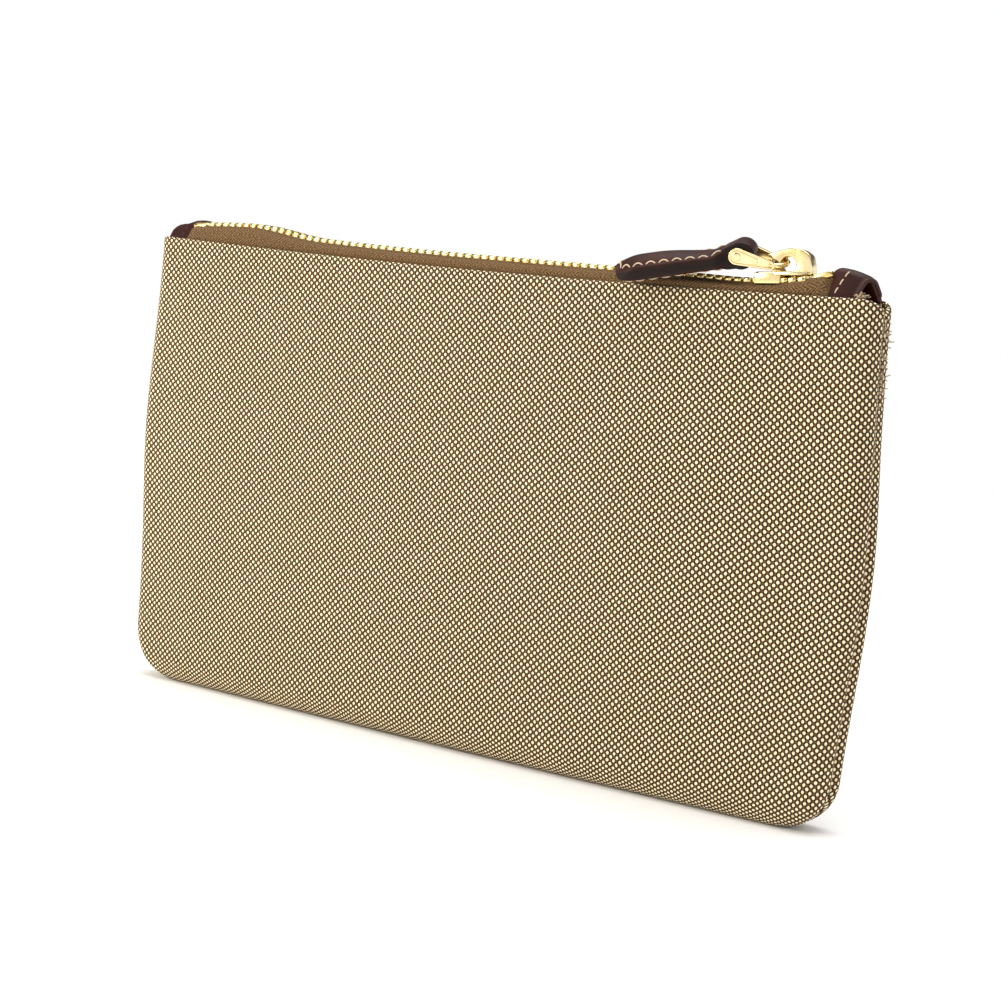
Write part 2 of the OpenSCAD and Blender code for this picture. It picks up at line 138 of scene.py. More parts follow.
class Shape:
    """Collects points, faces and cloth coordinates of one piece, which may be several closed shells."""

    def __init__(self):
        self.points, self.faces, self.uvs, self.masks = [], [], [], []

    def add(self, points, faces, uvs=None, mask=None, place=Matrix()):
        first = len(self.points)
        self.points += [place @ Vector(p) for p in points]
        self.faces += [[first + i for i in face] for face in faces]
        self.uvs += uvs or [(0, 0)] * len(points)
        self.masks += mask or [0] * len(points)
        return self

    def build(self, name, material, keep_sharp=None):
        mesh = bpy.data.meshes.new(name)
        mesh.from_pydata([p * MM for p in self.points], [], self.faces)
        layer = mesh.uv_layers.new(name="weave")
        corner_points = np.empty(len(mesh.loops), int)
        mesh.loops.foreach_get("vertex_index", corner_points)
        layer.data.foreach_set("uv", (np.array(self.uvs, float)[corner_points] * MM).ravel())
        if any(self.masks):
            mesh.attributes.new("edge", "FLOAT", "POINT").data.foreach_set("value", self.masks)
        shell = bmesh.new()
        shell.from_mesh(mesh)
        bmesh.ops.recalc_face_normals(shell, faces=shell.faces)
        shell.to_mesh(mesh)
        shell.free()
        mesh.shade_smooth()
        if keep_sharp is not None:
            mesh.set_sharp_from_angle(angle=math.radians(keep_sharp))
        mesh.materials.append(material)
        return linked(name, mesh)


def loft(rings, closed=False):
    """Points and faces of a tube through rings of equal length; its ends are capped, or joined if closed."""
    n, last = len(rings[0]), len(rings)
    faces = []
    for k in range(last if closed else last - 1):
        nxt = (k + 1) % last
        for i in range(n):
            j = (i + 1) % n
            faces.append([k * n + i, k * n + j, nxt * n + j, nxt * n + i])
    if not closed:
        faces += [list(range(n)), [(last - 1) * n + i for i in reversed(range(n))]]
    return [p for ring in rings for p in ring], faces


# How much thinner a thread is at its two ends
END_TAPER = 0.55


def tube(path, radius, sides=8, taper=True):
    """A thread or bar along a path."""
    path = [Vector(p) for p in path]
    rings, side = [], None
    for k, p in enumerate(path):
        along = (path[min(k + 1, len(path) - 1)] - path[max(k - 1, 0)]).normalized()
        if side is None:
            side = along.orthogonal().normalized()
        side = (side - along * side.dot(along)).normalized()
        other = along.cross(side)
        ends = (0, len(path) - 1)
        r = radius * (END_TAPER if taper and k in ends else 1)
        rings.append([p + r * (c * side + s * other) for c, s in circle(sides)])
    return loft(rings)


def inset(outline, d):
    """A closed 2D outline moved inwards by d; outlines run anticlockwise."""
    n = len(outline)
    moved = []
    for i in range(n):
        a, p, b = outline[i - 1], outline[i], outline[(i + 1) % n]
        n1 = Vector((a[1] - p[1], p[0] - a[0])).normalized()
        n2 = Vector((p[1] - b[1], b[0] - p[0])).normalized()
        middle = (n1 + n2).normalized()
        reach = d / max(0.5, middle.dot(n1))
        moved.append((p[0] + middle.x * reach, p[1] + middle.y * reach))
    return moved


def rounded(corners, steps=5):
    """Outline through corners (x, y, radius), each one rounded off."""
    points = []
    n = len(corners)
    for i in range(n):
        (ax, ay, _), (px, py, r), (bx, by, _) = corners[i - 1], corners[i], corners[(i + 1) % n]
        p = Vector((px, py))
        to_a, to_b = Vector((ax, ay)) - p, Vector((bx, by)) - p
        if r == 0:
            points.append((px, py))
            continue
        half = to_a.angle(to_b) / 2
        cut = min(r / math.tan(half), to_a.length * 0.49, to_b.length * 0.49)
        start, end = p + to_a.normalized() * cut, p + to_b.normalized() * cut
        for k in range(steps + 1):
            t = k / steps
            q = start * (1 - t) ** 2 + p * 2 * t * (1 - t) + end * t * t
            points.append((q.x, q.y))
    return points


def edge_profile(low, high, r, steps=3):
    """(inset, height) pairs of a plate's rounded edge."""
    turn = [math.pi / 2 * k / steps for k in range(steps + 1)]
    bottom = [(r * (1 - math.sin(a)), low + r * (1 - math.cos(a))) for a in turn]
    top = [(r * (1 - math.cos(a)), high - r * (1 - math.sin(a))) for a in turn]
    return bottom + top


def plate(outline, profile):
    """A plate with the given outline, whose edge follows (inset, height) pairs from below to above."""
    return loft([[(x, y, h) for x, y in inset(outline, d)] for d, h in profile])


def rounded_box(size, r=0.15):
    """A box round the origin with soft edges."""
    x, y, z = (s / 2 for s in size)
    corners = [(x, -y, 2 * r), (x, y, 2 * r), (-x, y, 2 * r), (-x, -y, 2 * r)]
    return plate(rounded(corners, 3), edge_profile(-z, z, r))


def set_piece(shape, name, node, material, slot, body=None, keep_sharp=None):
    """Builds a piece in place of a CAD part, which it hides; one with a body is parented to that body's
    empty, one without has its place baked into its points.
    """
    obj = shape.build(name, material, keep_sharp)
    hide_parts(node)
    if body is not None:
        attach(obj, body)
        return obj
    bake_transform(obj)
    return obj


# --- Shape of the sewn cloth

# Turn of the side edges in degrees, closer together at the seam
TURNS = [0, 2, 4.5, 7.5, 11, 15, 20, 26, 33, 41, 50, 60, 71, 81]
# Rounded top corners, as pairs of widths and drops: the right one is more worn
SOFT_CORNERS = ((3.2, 4.4), (1.9, 4.2))
# How the side edges bow outwards, as pairs: amount, height of the widest place, its spread
BOWS = ((2.1, 2.9), (68, 58), (27, 36))
# Each panel rolls into the side seam: how far the seam sinks and how far the roll swells
SEAM_DIPS, SEAM_ROLLS = (0.8, 1.7), (0, 1.1)


def top_z(x):
    return POUCH_H - TOP_DIP * (1 - (x / HALF_W) ** 2)


def soft_top(x):
    """Top edge of the cloth, with its two ends rounded off."""
    corner, drop = (by_side(x, pair) for pair in SOFT_CORNERS)
    past = np.clip((np.abs(x) - (HALF_W - corner)) / corner, 0, 1)
    return top_z(x) - drop * (1 - np.sqrt(1 - 0.96 * past ** 2))


def bowed(x, z):
    """Side edges of the filled pouch bow outwards."""
    amount, widest, spread = (by_side(x, pair) for pair in BOWS)
    swell = np.exp(-((z - widest) / spread) ** 2) + 0.3 * smooth((z - 50) / 50)
    return x + np.sign(x) * amount * swell * smooth((np.abs(x) - 50) / 55)


def belly(x, z):
    middle = EDGE_HALF + (BELLY_HALF - EDGE_HALF) * (1 - (x / HALF_W) ** 2)
    return mix(middle, MOUTH_HALF - 0.6 * (x / HALF_W) ** 2, smooth((z - 66) / (POUCH_H - 66)))


def seam_roll(x, turn, z):
    """How far the side moves outwards near its seam; turn is 0 at the seam and 90 where the face begins."""
    dip, roll = by_side(x, SEAM_DIPS), by_side(x, SEAM_ROLLS)
    low = 1 - smooth((z - 58) / 35)
    reach = np.radians(turn) * SIDE_TURN
    sunk = dip * mix(0.4, 1, low) * np.exp(-(reach / 1.3) ** 2) * (1 + 0.12 * np.sin(z * math.tau / 4))
    return roll * mix(0.2, 1, low) * np.sin(np.radians(2 * turn)) - sunk


def width_at(o, z, side):
    """Half width of the outline, whose bottom corners are round."""
    corner = by_side(side, CORNER_RS)
    low = HALF_W - corner + np.sqrt(np.maximum(0, (corner - o) ** 2 - (corner - z) ** 2))
    return np.where(z >= corner, HALF_W - o, low)


def waves(x, z, phase):
    """Slight unevenness of hand-filled cloth."""
    wide = 0.16 * np.sin(x / 23 + phase) * np.sin(z / 31 + 1.7 * phase)
    rim = 0.13 * np.sin(x / 11.5 + 2.3 * phase) * smooth((z - 95) / 25)
    return wide + rim


def cloth_row(o, lift, share, kind, turn, flat, phase):
    """Points along one row; lift is its height at the foot, else (share of the rise, extra height)."""
    side = np.sign(flat)
    r = SIDE_TURN - o
    cos_t, sin_t = np.cos(np.radians(turn)), np.sin(np.radians(turn))
    if kind == "foot":
        z = np.full_like(flat, lift)
    else:
        top = soft_top(flat * (HALF_W - o - r) + side * r * cos_t) - kind
        z = FOOT_TURN + (top - FOOT_TURN) * lift[0] + lift[1]
    x = flat * (width_at(o, z, side) - r) + side * r * cos_t
    depth = (belly(x, z) - HALF_SEAM - o + waves(x, z, phase)) * sin_t * share
    return x, -HALF_SEAM - depth, z


def cloth_layer(o, t, top_gap, phase, flat_cols, rise_rows, side):
    """A layer of cloth as one closed, folded shell: outer face, rounded top edge, inner face."""
    flat = np.linspace(-1, 1, flat_cols + 1)
    turn = np.concatenate([TURNS, np.full(flat_cols + 1, 90.0), TURNS[::-1]])
    flat = np.concatenate([np.full(len(TURNS), -1.0), flat, np.full(len(TURNS), 1.0)])
    fold = [math.pi * k / 8 for k in range(9)]
    rows = []

    def face(offset):
        r = FOOT_TURN - offset
        made = [(offset, offset, s, "foot", s * 8 - FOOT_TURN - 7) for s in (0, 0.12, 0.24, FOOT_FLAT)]
        for a in np.radians([12, 24, 36, 48, 60, 72, 84]):
            share = FOOT_FLAT + (1 - FOOT_FLAT) * math.sin(a)
            v_add = FOOT_TURN - 8 * (math.pi / 2 - a)
            made.append((offset, offset + r * (1 - math.cos(a)), share, "foot", v_add))
        made += [(offset, (k / rise_rows, 0), 1, top_gap + t / 2, 0) for k in range(rise_rows + 1)]
        return made

    rows += face(o)
    for a in fold[1:-1]:
        lift = (1, t / 2 * math.sin(a))
        rows.append((o + t / 2 * (1 - math.cos(a)), lift, 1, top_gap + t / 2, t / 2 * a))
    rows += face(o + t)[::-1]

    points, uvs = [], []
    face_rows = len(rows) // 2
    for j, (offset, lift, share, kind, v_add) in enumerate(rows):
        x, y, z = cloth_row(offset, lift, share, kind, turn, flat, phase)
        x = x + np.sign(flat) * seam_roll(x, turn, z)
        step = np.hypot(np.diff(x), np.diff(y))
        u = np.concatenate([[0], np.cumsum(step)])
        u -= u[len(u) // 2]
        v = np.full_like(z, v_add) if kind == "foot" else z + v_add
        points += list(zip(bowed(x, z), -side * y, z))
        uvs += list(zip(u, v))
    cols, count = len(flat), len(rows)
    faces = [
        [j * cols + i, j * cols + i + 1, (j + 1) * cols + i + 1, (j + 1) * cols + i]
        for j in range(count - 1) for i in range(cols - 1)
    ]
    last = (count - 1) * cols
    faces += [[i, last + i, last + i + 1, i + 1] for i in range(cols - 1)]
    for c in (0, cols - 1):
        for j in range(face_rows):
            k = count - 1 - j
            ring = [j * cols + c, (j + 1) * cols + c, (k - 1) * cols + c, k * cols + c]
            faces.append(list(dict.fromkeys(ring)))
    return Shape().add(points, faces, uvs)


# --- Line of the zip


def chain_z(x):
    """Height of the chain's middle: a cubic curve through its keys."""
    for (ax, az, am), (bx, bz, bm) in zip(CHAIN, CHAIN[1:]):
        if x <= bx or (bx, bz, bm) == CHAIN[-1]:
            w = bx - ax
            t = (x - ax) / w
            return (
                (2 * t ** 3 - 3 * t ** 2 + 1) * az + (t ** 3 - 2 * t ** 2 + t) * w * am
                + (3 * t ** 2 - 2 * t ** 3) * bz + (t ** 3 - t ** 2) * w * bm
            )


def chain_tilt(x):
    return math.degrees(math.atan((chain_z(x + 0.1) - chain_z(x - 0.1)) / 0.2))


def part_y(x):
    """How far each side stands apart at x."""
    return CHAIN_PART * (smooth((x - SLIDER.x + 1.5) / 7.5) - 0.7 * smooth((x - 88) / 5))


def on_chain(x, side):
    """Place on one side of the chain; the side is -1 for the front and 1 for the back."""
    flip = Matrix.Diagonal((1, -side, 1, 1))
    return flip @ moved(x, -part_y(x), chain_z(x)) @ turned("Y", -chain_tilt(x))


def softened(points):
    """Polyline with its corners cut twice, ends kept."""
    for _ in range(2):
        cut = [points[0]]
        for a, b in zip(points, points[1:]):
            cut += [tuple(mix(np.array(a), np.array(b), t)) for t in (0.25, 0.75)]
        points = cut + [points[-1]]
    return points


def strip_ring(line, t):
    """Closed outline of a strip of thickness t round a 2D line, with the distance along it."""
    line = np.array(line, float)
    along = np.gradient(line, axis=0)
    along /= np.linalg.norm(along, axis=1)[:, None]
    normal = np.stack([-along[:, 1], along[:, 0]], axis=1)
    run = run_along(line)
    ring = np.concatenate([line + normal * t / 2, (line - normal * t / 2)[::-1]])
    return ring, np.concatenate([run, run[::-1]])


def resampled(line, count):
    """Points spaced evenly along a polyline."""
    line = np.array(line, float)
    run = run_along(line)
    at = np.linspace(0, run[-1], count)
    return np.stack([np.interp(at, run, line[:, k]) for k in (0, 1)], axis=1)


def tape_line(x, side):
    """Middle of the tape across the zip: down from the teeth, then in behind the panel."""
    # Under the end tabs the tape leans in below the leather
    covered = x - COVERED_FROM[side]
    under = smooth(covered / 1.8) + smooth((-94.2 - x) / 1.2)
    zc = chain_z(x) - (1.5 * smooth((covered - 0.3) / 1.8) if side > 0 else 0)
    part, top = part_y(x), top_z(x)
    face = TAPE_MID - belly(x, top)
    bend = min(-TOOTH_OUT - 0.75 - part, face - 0.45) + TAPE_T / 2
    ripple = 0.12 * math.sin(x / 5.5) * math.sin(x / 17)
    start, tucked = (-1.4 - part, zc), [(face, top - 3), (face, top - TAPE_TUCK)]
    upright = softened([
        start, (-2.75 - part, zc - 0.05), (-3.2 - part, zc - 0.8), (bend + 0.25, zc - 1 + ripple),
        (bend, mix(zc - 1, top, 0.5)), (bend, top + 0.7), (face, top - 0.1), *tucked,
    ])
    leaning = softened([
        start, (-1.9 - part, zc - 0.6), (-3.1, zc - 2.3), (face + 0.3, top + 0.4), (face, top - 1), *tucked,
    ])
    return mix(resampled(upright, 64), resampled(leaning, 64), under)


def zip_tape(side):
    xs = np.linspace(TAPE_START, TAPE_END[side], 220)
    rings, uvs = [], []
    for x in xs:
        ring, run = strip_ring(tape_line(x, side), TAPE_T)
        rings.append([(x, -side * y, z) for y, z in ring])
        uvs += [(x, v) for v in run]
    points, faces = loft(rings)
    return Shape().add(points, faces, uvs)


def zip_cord(side):
    xs = np.linspace(TAPE_START, TAPE_END[-1], 190)
    path = [(x, side * (CORD_Y + part_y(x)), chain_z(x)) for x in xs]
    return Shape().add(*tube(path, CORD_R))


def tooth_rings():
    """Rings of one tooth along Y: legs on the tape, a waist and a rounded head."""
    stations = [
        (-TOOTH_OUT, 1.55, 1.5), (-TOOTH_OUT + 0.08, 1.8, 1.8), (-TOOTH_OUT + 0.2, 1.94, 1.98),
        (-1.6, 1.9, 1.98), (-1.05, 1.14, 1.68), (-0.7, 1.08, 1.56), (0.1, 1.1, 1.56), (0.42, 1.0, 1.4),
        (0.62, 0.7, 1), (0.7, 0.3, 0.5),
    ]
    rings = []
    for y, w, h in stations:
        ring = []
        for c, s in circle(16, start=0.5):
            square = (abs(c) ** 5 + abs(s) ** 5) ** -0.2
            taper = mix(0.74, 1.1, s / 2 + 0.5) if y < -1.3 else 1
            ring.append((w / 2 * c * square * taper, y, h / 2 * s * square))
        rings.append(ring)
    return rings


def zip_teeth(side):
    count = int((TEETH_X[1] - TEETH_X[0] - TOOTH_PITCH / 2) / TOOTH_PITCH) + 1
    first = TEETH_X[0] + 0.5 + (TOOTH_PITCH / 2 if side > 0 else 0)
    points, faces = loft(tooth_rings())
    row = Shape()
    for k in range(count):
        loose = turned("Z", uniform(-2.5, 2.5))
        row.add(points, faces, place=on_chain(first + k * TOOTH_PITCH, side) @ loose)
    return row


def top_stop(side):
    length = TOP_STOP_X[1] - TOP_STOP_X[0]
    place = on_chain(sum(TOP_STOP_X) / 2, side) @ moved(0, -TOOTH_OUT + 1, 0.25)
    return Shape().add(*rounded_box((length, 1.7, 1.3), 0.3), place=place)


def bottom_stop():
    """A clip pressed round both sides of the chain, with rounded shoulders."""
    length = BOTTOM_STOP_X[1] - BOTTOM_STOP_X[0]
    x = sum(BOTTOM_STOP_X) / 2
    place = moved(x, 0, chain_z(x)) @ turned("Y", -chain_tilt(-94))
    rings = []
    for k in range(13):
        t = -1 + 2 * k / 12
        swell = 1 - abs(t) ** 5 * 0.35
        ring = []
        for c, s in circle(20, start=0.5):
            square = (abs(c) ** 3.5 + abs(s) ** 3.5) ** (-1 / 3.5)
            ring.append((t * length / 2, 2.95 * swell * c * square, 1.12 * swell * s * square - 0.1))
        rings.append(ring)
    return Shape().add(*loft(rings), place=place)


# --- Slider and puller

CHANNEL_HALF = 1.35
PLATE_TOP = 2.25
TAIL_X, NOSE_X = -5.3, 7.3
TAIL_HALF, NOSE_HALF = 4.2, 5
EYE = (2, 3.9)
EYE_HOLE, EYE_R = (1.9, 3.85), 1.95
CROWN_T = 2.8
PULL_YAW, PULL_ROLL, LINK_TILT, PULL_DROOP = 18, 14, 8, 12.9
LINK_LEN = 11.3
RING_R, ARM_T, ARM_DIP = 0.6, 1, 4
EYE_HALF, PIN_HALF = 2.7, 3.85
PIN_R = 0.8
LOOP_W, LOOP_R = 7, 3.15
PULL_W, PULL_LEN = 10, 29.4
NECK_X = -6

in_slider = moved(*SLIDER) @ turned("Y", -SLIDER_TILT)
in_link = (
    in_slider @ moved(EYE[0] - 0.8, 0, EYE[1] + 0.4) @ turned("Y", SLIDER_TILT)
    @ turned("Z", PULL_YAW) @ turned("X", PULL_ROLL) @ turned("Y", LINK_TILT)
)
at_pin = in_link @ moved(-LINK_LEN, 0, 0)
in_pull = at_pin @ turned("Y", -LINK_TILT - PULL_DROOP)


def slider_body():
    half = [
        (TAIL_X, -TAIL_HALF, 1.6), (-0.5, -TAIL_HALF, 1.2), (3.6, -NOSE_HALF, 1.2), (5.6, -NOSE_HALF, 1),
        (NOSE_X, -2.6, 0.8),
    ]
    outline = rounded(half + [(x, -y, r) for x, y, r in reversed(half)])
    body = Shape()
    body.add(*plate(outline, edge_profile(CHANNEL_HALF, PLATE_TOP, 0.28)), place=in_slider)
    below = inset(outline, 0.4)
    body.add(*plate(below, edge_profile(-PLATE_TOP, -CHANNEL_HALF, 0.28)), place=in_slider)
    for y in (-TAIL_HALF + 0.38, TAIL_HALF - 0.38):
        for low, high in ((-0.5, 2), (-2, -1.05)):
            place = in_slider @ moved(TAIL_X + 3.3, y, (low + high) / 2)
            body.add(*rounded_box((6.5, 0.85, high - low), 0.2), place=place)
    post = rounded([(2.9, 0, 0.1), (6.3, -1, 0.3), (7, -1, 0.3), (7, 1, 0.3), (6.3, 1, 0.3)], 3)
    body.add(*plate(post, [(0, -CHANNEL_HALF - 0.1), (0, CHANNEL_HALF + 0.1)]), place=in_slider)
    return body


def eyed_block(outline, centre, hole_r, width, r, count=72):
    """A softly edged block of the given width along Y: from the side, an outline with a round hole."""
    centre = Vector(centre)
    turn = [math.pi / 2 * k / 4 for k in range(5)]
    rings = []
    for ray in map(Vector, circle(count)):
        out, hole = ray_hit(centre, ray, outline), centre + hole_r * ray
        inwards = (hole - out).normalized()
        ring = [out + inwards * r * (1 - math.cos(a)) for a in turn]
        height = [width / 2 - r * (1 - math.sin(a)) for a in turn]
        ring += [hole - inwards * r * (1 - math.cos(a)) for a in reversed(turn)]
        height += height[::-1]
        side = [(p.x, -h, p.y) for p, h in zip(ring, height)]
        rings.append(side + [(x, -y, z) for x, y, z in reversed(side)])
    return loft(rings, closed=True)


def crown():
    """A domed bridge with an eye through it; its tail end is a free beak."""
    outline = rounded([
        (-2, PLATE_TOP - 0.1, 0), (-2, 2.9, 0.5), (-1.45, 4.9, 0.7), (-3.6, 5.9, 0.2), (-3.3, 6.3, 0.3),
        (-0.4, 7.2, 6), (2.6, 7.7, 6), (5.4, 7.3, 3), (7.3, 6.0, 2.2), (7.9, 3.6, 1.5), (8.0, 1.5, 0.3),
        (7.4, 1.5, 0.2), (7.3, PLATE_TOP - 0.1, 0), (2, PLATE_TOP - 0.1, 0),
    ])
    block = eyed_block(outline, EYE_HOLE, EYE_R, CROWN_T, 0.35, 96)
    return Shape().add(*block, place=in_slider)


def ray_hit(centre, d, outline):
    """Where a ray from the centre, in direction d, meets a closed outline."""
    best = None
    for a, b in zip(outline, outline[1:] + outline[:1]):
        a, b = Vector(a) - centre, Vector(b) - centre
        side = b - a
        det = d.x * -side.y + side.x * d.y
        if abs(det) < 1e-9:
            continue
        s = (a.x * -side.y + side.x * a.y) / det
        t = (d.x * a.y - d.y * a.x) / det
        if s > 0 and -1e-6 <= t <= 1 + 1e-6:
            best = s if best is None else max(best, s)
    return centre + d * best


def arm_outline(pin_r, tip_r, tip_x):
    """A teardrop from round the pin, at the origin, to a narrow tip."""
    open_a = math.pi / 2 - math.asin((pin_r - tip_r) / tip_x)
    tip = [mix(-open_a, open_a, k / 14) for k in range(15)]
    pin = [mix(open_a, math.tau - open_a, k / 30) for k in range(31)]
    return [polar(tip_r, a, tip_x) for a in tip] + [polar(pin_r, a) for a in pin]


def puller_link():
    """A stirrup: two splayed arms with a rim and an inner field, joined by a bar bent through the eye."""
    link = Shape()
    half = [
        (-3.9, 3.5, -0.5), (-2.9, 3.4, -0.45), (-1.9, 3.1, -0.35), (-1, 2.5, -0.2), (-0.35, 1.6, -0.05),
        (-0.05, 0.7, 0),
    ]
    bar = [(x, -y, z) for x, y, z in half] + [(0, 0, 0)] + list(reversed(half))
    link.add(*tube(bar, RING_R, 20, taper=False), place=in_link)
    splay = math.degrees(math.atan((PIN_HALF - EYE_HALF) / LINK_LEN))
    top = ARM_T / 2
    arm = plate(arm_outline(1.95, 0.95, 8), edge_profile(-top, top, 0.2, 4) + [
        (0.42, top), (0.48, top - 0.28), (0.75, top - 0.28),
    ])
    round_pin = np.radians(range(80, 281, 8))
    field = [polar(1.4, a) for a in round_pin] + [(4.7, -0.72), (4.9, 0), (4.7, 0.72)]
    field = plate(field, [(0, top - 0.4), (0, top - 0.08), (0.07, top - 0.01), (0.15, top)])
    for side in (-1, 1):
        place = (
            in_link @ moved(0, side * (EYE_HALF + top), 0) @ turned("Z", -side * splay)
            @ moved(-LINK_LEN, 0, 0) @ turned("Y", ARM_DIP) @ turned("X", -90 * side)
        )
        link.add(*arm, place=place)
        link.add(*field, place=place)
    return link


def puller_pin():
    """Rivet through both arms: a domed head each side."""
    head = PIN_HALF + ARM_T
    side = [
        (PIN_R, 0), (PIN_R, head - 0.1), (0.98, head - 0.02), (1, head + 0.1), (0.9, head + 0.2),
        (0.5, head + 0.28), (0.1, head + 0.3),
    ]
    profile = [(r, -y) for r, y in reversed(side)] + side[1:]
    rings = [[(x, y, z) for x, z in circle(32, r)] for r, y in profile]
    return Shape().add(*loft(rings), place=at_pin)


# --- Leather pull

STITCH_IN = 0.95
STITCH_PITCH = 3.08
STITCH_GAP = 0.5
STITCH_BOW = 0.34
FIRST_STITCH = 3.1
TIP_STITCHES = 4


def pull_half_width(s):
    """Half width of the pull s from the pin: a neck, a straight body and a round tip."""
    tip = PULL_LEN - PULL_W / 2
    if s > tip:
        return math.sqrt(max(0.0, (PULL_W / 2) ** 2 - (s - tip) ** 2))
    return mix(LOOP_W / 2, PULL_W / 2, smooth((s - 2.1) / 3.4))


def pull_face(s, y, face):
    """Height of the pull's top (face 1), domed most near the tip, or of its flatter underside (face -1)."""
    fuller = smooth((s - 3) / 16)
    share = abs(y) / max(pull_half_width(s), 0.3)
    sewn = 0.12 * math.exp(-(((1 - share) * pull_half_width(s) - STITCH_IN) / 0.45) ** 2)
    at_tip = max(0.0, (s - 22.5) / 6.9) ** 2
    if face < 0:
        return -2.8 + 0.35 * share ** 2 + sewn + 0.5 * at_tip
    rise = 0.8 * (1 - smooth((s - 3) / 3.5))
    return mix(1.05, 2.75, fuller) + rise - mix(0.4, 2.5, fuller) * share ** 2 - sewn - 1.8 * at_tip


def pull_body():
    """Rings of the padded body, from the neck to the round tip, with worn round edges."""
    tip = PULL_LEN - PULL_W / 2
    tip_turns = np.radians([10, 20, 30, 40, 50, 60, 68, 75, 81, 86, 89])
    stations = [*np.linspace(1.9, 3.7, 8), *np.linspace(4.2, tip, 40)]
    stations += [tip + PULL_W / 2 * math.sin(a) for a in tip_turns]
    half_cross = [0.18, 0.36, 0.55, 0.7, 0.8, 0.9, 1]
    cross = [-c for c in reversed(half_cross)] + [0] + half_cross
    rings, masks, uvs = [], [], []
    for s in stations:
        half = pull_half_width(s)
        flat = max(half - 0.75, half * 0.3)
        ring = []
        for face in (1, -1):
            for c in cross if face > 0 else cross[::-1]:
                ring.append((-s, c * flat, pull_face(s, c * flat, face)))
                masks.append(0.0)
                uvs.append((-s, c * flat))
            high, low = pull_face(s, flat, 1), pull_face(s, flat, -1)
            for k in range(1, 10):
                a = math.pi * k / 10
                bulge = (half - flat) * math.sin(a) ** 0.6
                z = (high + low) / 2 + face * (high - low) / 2 * math.cos(a)
                ring.append((-s, face * (flat + bulge), z))
                masks.append(min(1.0, 1.2 * math.sin(a) ** 2))
                uvs.append((-s, face * (flat + k * 0.3)))
        rings.append(ring)
    return *loft(rings), uvs, masks


def pull_loop():
    """The strap rolled round the pin, seen from the side as a drop that runs into the body."""
    turn = np.radians(range(-118, 119, 8))
    outline = [polar(LOOP_R, a, 0.75, -0.3) for a in turn]
    outline += [(-2.8, 1.9), (-5.5, 0.6), (-5.5, -2.2), (-2.8, -3)]
    points, faces = eyed_block(outline, (0, 0), PIN_R + 0.15, LOOP_W, 0.4)
    masks = [float(smooth((abs(y) - LOOP_W / 2 + 0.35) / 0.3)) for _, y, _ in points]
    return points, faces, [(x, y) for x, y, _ in points], masks


def pull_leather():
    return Shape().add(*pull_body(), in_pull).add(*pull_loop(), in_pull)


def pull_core():
    """Filler slab between the two leathers."""
    half = PULL_W / 2 - 1.6
    tip = -PULL_LEN + PULL_W / 2
    outline = [(NECK_X, half), (tip, half)]
    outline += [(tip - half * math.sin(a), half * math.cos(a)) for a in np.radians(np.arange(15, 180, 15))]
    outline += [(tip, -half), (NECK_X, -half)]
    return Shape().add(*plate(outline, edge_profile(-1.1, 0.1, 0.3)), place=in_pull)


def stitch_path(start, end, inward, up, surface=None):
    """A slack stitch between two holes: it rises out of one, bows inwards and dips into the other."""
    path = []
    for k in range(11):
        t = k / 10
        p = start.lerp(end, t) + inward * math.sin(math.pi * t)
        if surface is not None:
            p.z = surface(-p.x, p.y)
        path.append(p + up * mix(-0.3, 0.15, math.sin(math.pi * t) ** 0.6))
    return path


def pull_stitching():
    """Stitches round the body, on its top and underside."""
    threads = Shape()
    tip = PULL_LEN - PULL_W / 2
    inner = PULL_W / 2 - STITCH_IN
    # Each stitch is two ends as (s, y), and the way in which it bows
    stitches = []
    for side in (-1, 1):
        s = FIRST_STITCH
        while s + STITCH_PITCH <= tip + 0.5:
            ends = (s + STITCH_GAP / 2, s + STITCH_PITCH - STITCH_GAP / 2)
            stitches.append((*((t, side * (pull_half_width(t) - STITCH_IN)) for t in ends), (0, -side)))
            s += STITCH_PITCH
    for k in range(TIP_STITCHES):
        turn = [math.radians(-86 + 172 * (k + t) / TIP_STITCHES) for t in (0.08, 0.92)]
        stitches.append((*(polar(inner, a, tip) for a in turn), polar(-1, sum(turn) / 2)))
    for face in (1, -1):
        for (s0, y0), (s1, y1), (in_s, in_y) in stitches:
            path = stitch_path(
                Vector((-s0, y0, 0)), Vector((-s1, y1, 0)), STITCH_BOW * Vector((-in_s, in_y, 0)),
                Vector((0, 0, face)), lambda s, y: pull_face(s, y, face),
            )
            threads.add(*tube(path, STITCH_R), place=in_pull)
    return threads


# --- End tabs

TAB_T = 1.3
TAB_LEAN = 30
TAB_RIDGE_R = 2
TAB_FOOT = 121.2
TAB_REACH = 4.75
TAB_STITCH, TAB_STITCH_PITCH = 1.6, 2.3


def tab_arch(ridge_z, t_in):
    """Half arch as (y, z) from ridge to foot, t_in inside the outer face."""
    r = TAB_RIDGE_R - t_in
    lean = math.radians(TAB_LEAN)
    points = []
    for k in range(7):
        points.append(polar(r, mix(math.pi / 2, lean, k / 6), 0, ridge_z - TAB_RIDGE_R))
    y0, z0 = points[-1]
    for k in range(1, 9):
        z = mix(z0, TAB_FOOT, k / 8)
        y = y0 + (z0 - z) * math.tan(lean)
        limit = TAB_REACH - t_in
        y = limit - 0.5 * math.log1p(math.exp((limit - y) / 0.5)) if y > limit - 2 else y
        points.append((y, z))
    return points


